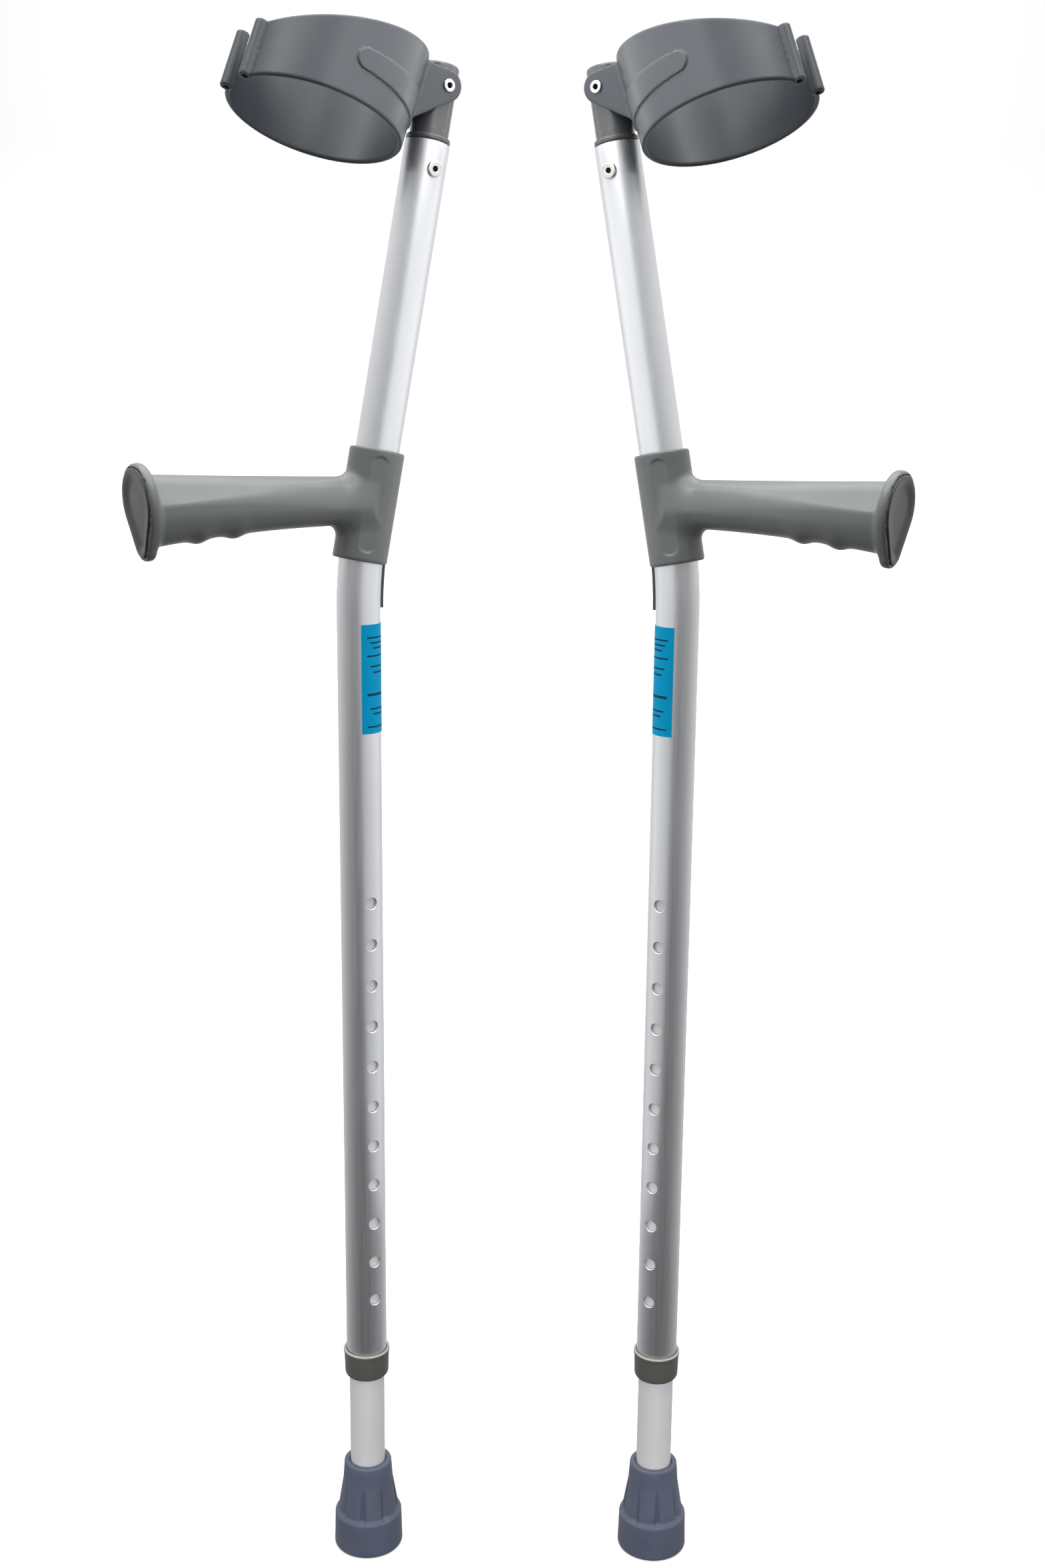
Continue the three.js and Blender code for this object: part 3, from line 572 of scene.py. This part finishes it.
def cuff_field(p):
    """Cuff in coordinates forward of the pivot, to the side and up."""
    forward, y, up = p.T
    side = y * math.cos(CUFF_ROLL) + up * math.sin(CUFF_ROLL)
    along = -y * math.sin(CUFF_ROLL) + up * math.cos(CUFF_ROLL)
    u = forward - CUFF_CENTRE
    rx, ry = CUFF_RX - CUFF_WALL / 2, CUFF_RY - CUFF_WALL / 2
    turn = np.arctan2(side / ry, u / rx)
    top, bottom = cuff_edges(np.cos(turn))
    off = ellipse(u, side, rx, ry)
    band = both(abs(off) - CUFF_WALL / 2, abs(along - (top + bottom) / 2) - (top - bottom) / 2, CUFF_EDGE)
    band = np.maximum(band, (CUFF_GAP - abs(turn)) * rx)
    body = join(band, pad_field(off, abs(turn) * rx, along, rx), 0.4)
    body = join(body, ear_field(forward, y, up), EAR_FILLET)
    body = both(body, EAR_HOLE_R - np.hypot(forward, up), 0.2)
    top, bottom = cuff_edges(math.cos(CUFF_GAP))
    rod = np.hypot(u - CUFF_RX * math.cos(CUFF_GAP), abs(side) - CUFF_RY * math.sin(CUFF_GAP))
    ends = abs(along - (top + bottom) / 2) - (top - bottom) / 2 - BEAD_OVERHANG
    body = join(body, both(rod - BEAD_R, ends, 0.8), 0.35)
    return both(body, BEAD_BORE_R - rod, 0.3)


def from_cuff(points):
    """Points (forward, side, up) of the cuff in the crutch's frame."""
    forward, y, up = points.T
    pivot = upper_point(PIVOT_S)
    x = pivot[0] + forward * math.cos(CUFF_TILT) - up * math.sin(CUFF_TILT)
    z = pivot[2] + forward * math.sin(CUFF_TILT) + up * math.cos(CUFF_TILT)
    return np.stack([x, y, z], -1)


# ---------------------------------------------------------------- other pieces

def rivet(at, shank, head, height, grip):
    """Hollow rivet along the side axis with rolled heads."""
    corners = [
        (RIVET_BORE_R, -grip - height, 0.5),
        (head, -grip - height, RIVET_ROLL),
        (head, -grip, 0.15),
        (shank, -grip, 0.1),
        (shank, grip, 0.1),
        (head, grip, 0.15),
        (head, grip + height, RIVET_ROLL),
        (RIVET_BORE_R, grip + height, 0.5),
    ]
    return lathe(soften(corners), crosswise(at), 48)


def collar():
    """Plastic collar closing the outer tube round the leg, with a rim at its top."""
    foot_r, waist_r, rim_r = COLLAR_R
    corners = [
        (LEG_R + GAP, COLLAR_BOTTOM, 0.5),
        (foot_r, COLLAR_BOTTOM, 2.6),
        (waist_r, COLLAR_RIM_Z - 2.4, 0.6),
        (rim_r, COLLAR_RIM_Z - 1.4, 0.6),
        (rim_r, COLLAR_TOP, 0.9),
        (TUBE_R + GAP, COLLAR_TOP, 0.4),
        (TUBE_R + GAP, TUBE_BOTTOM - GAP, 0.15),
        (LEG_R + GAP, TUBE_BOTTOM - GAP, 0.15),
    ]
    return lathe(soften(corners), upright)


def rubber_tip():
    """Hollow tip with two rings in its tread and grooves that deepen toward the ledge."""
    tread = []
    for r in TREAD_RINGS:
        tread += [(r, 0, 0.3), (r + 0.3, TREAD_DEPTH, 0.3), (r + 1.7, TREAD_DEPTH, 0.3), (r + 2, 0, 0.3)]
    corners = [
        (TIP_BORE_R, 0, 0),
        *tread,
        (TIP_BASE_R, 0, 1.6),
        (TIP_LEDGE_R + 0.3, TIP_LEDGE, 1.4),
        (TIP_LEDGE_R - 1.9, TIP_LEDGE + 2.6, 0.9),
        (TIP_LEDGE_R - 2.2, TIP_LEDGE + 6, 2.0),
        (TIP_TOP_R + 0.9, TIP_TOP - 13, 4.0),
        (TIP_TOP_R, TIP_TOP, 1.6),
        (LEG_R + GAP, TIP_TOP, 1.2),
        (LEG_R + GAP, TIP_SEAT, 0.3),
        (TIP_BORE_R, TIP_SEAT, 0),
    ]
    outline = soften(corners, 6)
    fine = []
    for a, b in zip(outline, outline[1:]):
        count = max(1, int(abs(b[1] - a[1]) / TIP_ROW)) if a[0] > GROOVE_SOLID_R else 1
        fine += [a + (b - a) * k / count for k in range(count)]
    outline = np.array(fine + [outline[-1]])

    def place(radius, turn, height):
        period = 2 * np.pi / TIP_GROOVES
        off = (turn - TIP_GROOVE_TURN + period / 2) % period - period / 2
        start, end = TIP_TOP - 14, TIP_LEDGE + 3.0
        part = np.clip((start - height) / (start - end), 0, 1)
        width = GROOVE_WIDTH * (1 + part)
        depth = GROOVE_DEPTH * np.sqrt(part) * (height > TIP_LEDGE + 1.6)
        outer = radius > GROOVE_SOLID_R
        groove = depth * np.exp(-((off * radius / width) ** 2)) * outer
        return upright(radius - groove, turn, height)

    return lathe(outline, place, TIP_COLUMNS, closed=False)


def wrap(inner, outer, turns, lengths):
    """Thin curved sheet on the tube between two radii."""
    shell = Shell()
    turns, lengths = np.array(turns), np.array(lengths)
    faces = []
    for radius in (inner, outer):
        faces.append(shell.add(on_tube(radius, turns[None, :], lengths[:, None])))
        shell.rows(faces[-1], closed=False)
    low, high = faces
    for pick in (np.s_[0, :], np.s_[-1, :], np.s_[:, 0], np.s_[:, -1]):
        shell.strip(low[pick], high[pick], closed=False)
    return shell


def wedge():
    """Thin strip behind the tube, held by the socket."""
    turns = np.linspace(math.pi - WEDGE_HALF, math.pi + WEDGE_HALF, 13)
    lengths = np.linspace(WEDGE_Z[0], WEDGE_Z[1] + 0.3, 45)
    return wrap(TUBE_R + GAP, TUBE_R + GAP + WEDGE_THICK, turns, lengths)


def label():
    """Film laid on the tube below the handle."""
    turns = np.linspace(*LABEL_TURN, 93)
    lengths = np.linspace(*LABEL_Z, 127)
    return wrap(TUBE_R + 0.05, TUBE_R + 0.25, turns, lengths)


def label_lines(centre):
    """Plain dark lines on the film, where small print would be, each third one starting alike."""
    turn = np.degrees(np.arctan2(centre[:, 1], centre[:, 0])) % 360
    z = centre[:, 2]
    marked = np.zeros(len(z), bool)
    for k, (bottom, tall) in enumerate(LABEL_LINES):
        start = LINE_START + LINE_INDENT * (k % 3)
        marked |= (z > bottom) & (z < bottom + tall) & (turn > start) & (turn < LINE_END)
    return marked


def snap_button():
    """Domed button, standing out on the side opposite to y."""
    inner, outer = LEG_R - LEG_WALL - 0.4, TUBE_R + BUTTON_OUT
    corners = [
        (BUTTON_BORE_R, inner, 0),
        (BUTTON_R, inner, 0.2),
        (BUTTON_R, outer, BUTTON_DOME),
        (BUTTON_BORE_R, outer, 0),
    ]
    place = crosswise((0, 0, TOP_HOLE))
    return lathe(soften(corners, 8), lambda r, turn, h: place(r, turn, -h), 48, closed=False)


# ---------------------------------------------------------------- materials

class Look:
    """A material built node by node, with textures in the object's metres."""

    def __init__(self, name):
        self.material = bpy.data.materials.new(name)
        self.material.use_nodes = True
        self.tree = self.material.node_tree
        self.tree.nodes.clear()
        self.output = self.node("OutputMaterial")
        self.shader = self.node("BsdfPrincipled")
        self.link(self.shader, "BSDF", self.output, "Surface")
        self.coordinates = self.node("TexCoord")
        self.bump = None

    def node(self, kind, **inputs):
        made = self.tree.nodes.new("ShaderNode" + kind)
        for name, value in inputs.items():
            made.inputs[name.replace("_", " ")].default_value = value
        return made

    def link(self, source, output, target, socket):
        self.tree.links.new(source.outputs[output], target.inputs[socket])

    def noise(self, scale, detail=4.0, stretch=(1, 1, 1), roughness=0.5):
        mapping = self.node("Mapping", Scale=stretch)
        texture = self.node("TexNoise", Scale=scale, Detail=detail, Roughness=roughness)
        self.link(self.coordinates, "Object", mapping, "Vector")
        self.link(mapping, "Vector", texture, "Vector")
        return texture

    def cells(self, scale):
        texture = self.node("TexVoronoi", Scale=scale)
        self.link(self.coordinates, "Object", texture, "Vector")
        return texture

    def colour(self, texture, stops, output="Fac"):
        ramp = self.node("ValToRGB")
        elements = ramp.color_ramp.elements
        while len(elements) < len(stops):
            elements.new(0.5)
        for element, (position, rgb) in zip(elements, stops):
            element.position = position
            element.color = (*rgb, 1)
        self.link(texture, output, ramp, "Fac")
        self.link(ramp, "Color", self.shader, "Base Color")

    def rough(self, texture, low, high, output="Fac"):
        spread = self.node("MapRange", From_Min=0.3, From_Max=0.7, To_Min=low, To_Max=high)
        self.link(texture, output, spread, "Value")
        self.link(spread, "Result", self.shader, "Roughness")

    def relief(self, texture, height, strength=1.0, output="Fac"):
        bump = self.node("Bump", Strength=strength, Distance=height)
        self.link(texture, output, bump, "Height")
        if self.bump is not None:
            self.link(self.bump, "Normal", bump, "Normal")
        self.bump = bump
        self.link(bump, "Normal", self.shader, "Normal")

    def set(self, **inputs):
        for name, value in inputs.items():
            self.shader.inputs[name.replace("_", " ")].default_value = value
        return self


def shades(rgb, spread):
    """Darker, plain and lighter stops of one colour for a ramp."""
    return [
        (0.3, [c * (1 - spread) for c in rgb]),
        (0.5, list(rgb)),
        (0.7, [min(1, c * (1 + spread)) for c in rgb]),
    ]


def aluminium(name, rgb, metal, rough):
    look = Look(name).set(Metallic=metal)
    drawn = look.noise(900, 3, (1, 1, 0.02))
    smudge = look.noise(22, 5, (1, 1, 0.5))
    look.colour(smudge, shades(rgb, 0.035))
    look.rough(drawn, *rough)
    look.relief(drawn, 0.00001, 0.35)
    look.relief(look.noise(1500, 2), 0.000008, 0.25)
    return look.material


def moulding(name, rgb, rough, grain, specular=0.5):
    """Moulded plastic with a fine grain and slight handling wear."""
    look = Look(name).set(Specular_IOR_Level=specular)
    wear = look.noise(28, 5)
    look.colour(wear, shades(rgb, 0.07))
    look.rough(look.noise(60, 6), *rough)
    look.relief(look.cells(grain), 0.00003, 0.35, "Distance")
    look.relief(look.noise(2200, 2), 0.00001, 0.3)
    return look.material


def steel():
    look = Look("bright_steel").set(Metallic=1.0)
    scratches = look.noise(1400, 4, (1, 0.08, 1))
    look.colour(look.noise(150, 3), shades((0.71, 0.7, 0.68), 0.06))
    look.rough(scratches, 0.16, 0.3)
    look.relief(scratches, 0.000008, 0.4)
    return look.material


def film(name, rgb):
    look = Look(name).set(Specular_IOR_Level=0.05)
    look.colour(look.noise(120, 4), shades(rgb, 0.05))
    look.rough(look.noise(300, 3), 0.42, 0.52)
    look.relief(look.noise(500, 3), 0.00002, 0.2)
    return look.material


def rubber():
    look = Look("tip_rubber").set(Specular_IOR_Level=0.5)
    look.colour(look.noise(45, 6), shades((0.062, 0.072, 0.108), 0.1))
    look.rough(look.noise(90, 5), 0.46, 0.62)
    look.relief(look.noise(900, 5, roughness=0.6), 0.00006, 0.45)
    look.relief(look.cells(1600), 0.00003, 0.3, "Distance")
    return look.material


GREY = moulding("grey_plastic", (0.046, 0.053, 0.0625), (0.29, 0.36), 1500)
GRIP_GREY = moulding("grip_plastic", (0.123, 0.13, 0.131), (0.3, 0.4), 1500)
DARK = moulding("dark_plastic", (0.045, 0.048, 0.052), (0.28, 0.4), 1300)
STEM_GREY = moulding("stem_plastic", (0.066, 0.069, 0.072), (0.2, 0.28), 1300, 0.7)
OLIVE = moulding("olive_plastic", (0.06, 0.06, 0.053), (0.34, 0.5), 1300)
# Painted highlight: a lighter copy of the collar's own plastic, put on its top face and upper rim corner
# where overhead light falls.
RIM_PAINTED_HIGHLIGHT = moulding("collar_rim_painted_highlight", (0.3, 0.29, 0.26), (0.34, 0.48), 1300)
ALUMINIUM = aluminium("satin_aluminium", (0.74, 0.75, 0.77), 1.0, (0.36, 0.45))
MATT_ALUMINIUM = aluminium("matt_aluminium", (0.56, 0.55, 0.56), 0.3, (0.45, 0.55))
STEEL, RUBBER = steel(), rubber()
BLUE, PRINT = film("blue_film", (0.001, 0.27, 0.5)), film("dark_print", (0.005, 0.045, 0.075))


# ---------------------------------------------------------------- placing

def placing(side):
    """Axes and foot of a crutch's own frame, from its foot and the direction its button is pressed in."""
    low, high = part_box(f"{side}_rubber_tip")
    foot = Vector(((low.x + high.x) / 2, (low.y + high.y) / 2, low.z))
    press = next(j for j in frame["joints"] if j["name"] == f"{side}_button_press")
    beside = Vector(press["axis"]).normalized()
    forward = Vector((beside.y, -beside.x, 0)) * (1 if side == "left" else -1)
    return np.array([forward, beside, (0, 0, 1)], float), np.array(foot, float)


def add_piece(name, shell, materials, mark=None, crease=38):
    """The piece for this CAD node on both crutches."""
    points = np.concatenate(shell.points)
    for side in ("left", "right"):
        axes, foot = placing(side)
        mesh = bpy.data.meshes.new(f"{side}_{name}_fine")
        mesh.from_pydata((points @ axes * MM + foot).tolist(), [], shell.faces)
        work = bmesh.new()
        work.from_mesh(mesh)
        bmesh.ops.recalc_face_normals(work, faces=work.faces)
        work.to_mesh(mesh)
        work.free()
        for material in materials:
            mesh.materials.append(material)
        if mark is not None:
            centres = np.array([points[list(face)].mean(0) for face in shell.faces])
            mesh.polygons.foreach_set("material_index", mark(centres).astype(np.int32))
        mesh.shade_smooth()
        mesh.set_sharp_from_angle(angle=math.radians(crease))
        made = bpy.data.objects.new(f"{side}_{name}_fine", mesh)
        bpy.context.scene.collection.objects.link(made)
        node = f"{side}_{name}"
        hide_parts(node)
        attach(made, frame["nodes"][node]["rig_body"])


side_column, other_column = COLUMNS // 4, 3 * COLUMNS // 4
heights = [TOP_HOLE - HOLE_PITCH * k for k in range(HOLE_COUNT)]
openings = [(column, t, HOLE_R) for column in (side_column, other_column) for t in heights]
openings += [(column, length_at(STEM_RIVET_S), EAR_HOLE_R + GAP) for column in (side_column, other_column)]
add_piece(
    "outer_tube",
    drilled_tube(TUBE_R, TUBE_WALL, TUBE_BOTTOM, length_at(TUBE_TOP_S), openings),
    [ALUMINIUM],
)
add_piece(
    "leg_tube",
    drilled_tube(LEG_R, LEG_WALL, LEG_BOTTOM, LEG_TOP, [(other_column, TOP_HOLE, HOLE_R)]),
    [MATT_ALUMINIUM],
)
add_piece(
    "handle",
    skin(handle_field, (-33, -22, 624), (138, 22, 698), 0.8),
    [GRIP_GREY],
)
add_piece(
    "handle_end_cap",
    skin(cap_field, (2.5, -20, 635), (7.6, 20, 687), 0.5, from_plate),
    [DARK],
)
add_piece("handle_wedge", wedge(), [DARK])
add_piece("tube_label", label(), [BLUE, PRINT], label_lines)
add_piece(
    "cuff",
    skin(cuff_field, (-10.5, -47, -70), (115, 59, 14), 0.75, from_cuff),
    [GREY],
)
add_piece(
    "cuff_stem",
    skin(stem_field, (-14, -14, 193), (14, 14, 281), 0.6, from_upper),
    [STEM_GREY],
)
add_piece(
    "stem_rivet",
    rivet(upper_point(STEM_RIVET_S), EAR_HOLE_R, 4.4, 1.2, TUBE_R + GAP),
    [STEEL],
)
add_piece(
    "cuff_pivot_rivet",
    rivet(upper_point(PIVOT_S), 2.4, 3.5, 1.0, EAR_INNER + EAR_THICK + GAP),
    [STEEL],
)
# Faces above the rim line get the painted highlight material, lighter than the collar body.
add_piece("leg_collar", collar(), [OLIVE, RIM_PAINTED_HIGHLIGHT], lambda at: at[:, 2] > COLLAR_RIM_Z)
add_piece("rubber_tip", rubber_tip(), [RUBBER])
add_piece("snap_button", snap_button(), [STEEL])

for side in ("left", "right"):
    for name in ("button_spring", "tip_washer"):
        hidden = frame["nodes"][f"{side}_{name}"]
        hidden.data.materials.clear()
        hidden.data.materials.append(STEEL)


# ---------------------------------------------------------------- stage, light and camera

def floor():
    """Pale floor that sweeps up into a wall behind."""
    back, bend, wide, front = 2.2, 1.2, 4.0, -3.0
    line = [(front, 0.0)]
    for k in range(13):
        angle = math.pi / 2 * k / 12
        line.append((back + bend * math.sin(angle), bend * (1 - math.cos(angle))))
    line.append((back + bend, 4.0))
    points = [(x, y, z) for y, z in line for x in (-wide, wide)]
    faces = [(2 * i, 2 * i + 1, 2 * i + 3, 2 * i + 2) for i in range(len(line) - 1)]
    mesh = bpy.data.meshes.new("floor")
    mesh.from_pydata(points, [], faces)
    mesh.shade_smooth()
    look = Look("floor").set(Specular_IOR_Level=0.2)
    look.colour(look.noise(1.5, 3), shades((0.93, 0.93, 0.93), 0.01))
    look.rough(look.noise(4, 3), 0.7, 0.8)
    mesh.materials.append(look.material)
    made = bpy.data.objects.new("floor", mesh)
    made.visible_glossy = False
    made.visible_diffuse = False
    bpy.context.scene.collection.objects.link(made)


def softbox(name, at, towards, size, watts, spread=math.pi):
    """Soft lamp that the camera itself doesn't see."""
    data = bpy.data.lights.new(name, "AREA")
    data.shape = "RECTANGLE"
    data.size, data.size_y = size
    data.energy = watts
    data.spread = spread
    made = bpy.data.objects.new(name, data)
    made.location = at
    made.rotation_euler = (Vector(towards) - Vector(at)).to_track_quat("-Z", "Y").to_euler()
    made.visible_camera = False
    bpy.context.scene.collection.objects.link(made)
    return made


def world():
    """Studio surroundings: dark in front and below, white behind and above."""
    made = bpy.data.worlds.new("studio")
    made.use_nodes = True
    tree = made.node_tree
    background = tree.nodes["Background"]
    coordinates = tree.nodes.new("ShaderNodeTexCoord")
    slope = tree.nodes.new("ShaderNodeVectorMath")
    slope.operation = "DOT_PRODUCT"
    slope.inputs[1].default_value = SKY
    spread = tree.nodes.new("ShaderNodeMapRange")
    spread.inputs["From Min"].default_value = -1
    ramp = tree.nodes.new("ShaderNodeValToRGB")
    elements = ramp.color_ramp.elements
    while len(elements) < len(SKY_TONES):
        elements.new(0.5)
    for element, (position, tone) in zip(elements, SKY_TONES):
        element.position = position
        element.color = (tone, tone, tone, 1)
    tree.links.new(coordinates.outputs["Generated"], slope.inputs[0])
    tree.links.new(slope.outputs["Value"], spread.inputs["Value"])
    tree.links.new(spread.outputs["Result"], ramp.inputs["Fac"])
    tree.links.new(ramp.outputs["Color"], background.inputs["Color"])
    bpy.context.scene.world = made


def camera():
    """Stands before the middle of the two feet and looks slightly down."""
    middle = (placing("left")[1] + placing("right")[1]) / 2
    data = bpy.data.cameras.new("camera")
    data.sensor_fit = "HORIZONTAL"
    data.sensor_width = SENSOR_WIDTH
    data.lens = LENS
    data.clip_start = 0.01
    made = bpy.data.objects.new("camera", data)
    pitch, roll = math.radians(90 - CAMERA_DOWN), math.radians(CAMERA_ROLL)
    turned = Matrix.Rotation(pitch, 4, "X") @ Matrix.Rotation(roll, 4, "Z")
    made.matrix_world = Matrix.Translation(Vector(middle) + Vector(CAMERA_AT)) @ turned
    bpy.context.scene.collection.objects.link(made)
    bpy.context.scene.camera = made


floor()
world()
softbox("overhead", (0, 0.2, 2.4), (0, 0.2, 0), (2.6, 2.6), 66)
softbox("wall", (0, 1.2, 2.2), (0, 3.2, 0.8), (3.0, 0.8), 40)
feet = softbox("feet", (0, -0.62, 0.12), (0, 0, 0.1), (1.0, 0.2), 1.15, math.radians(80))
feet.visible_glossy = False
for z, tall, watts in BETWEEN:
    for way in (-1, 1):
        at, towards = (BETWEEN_GAP * way, BETWEEN_Y, z), (way, BETWEEN_Y, z)
        softbox("between", at, towards, (BETWEEN_WIDTH, tall), watts)
camera()
bpy.context.scene.view_settings.view_transform = "Standard"
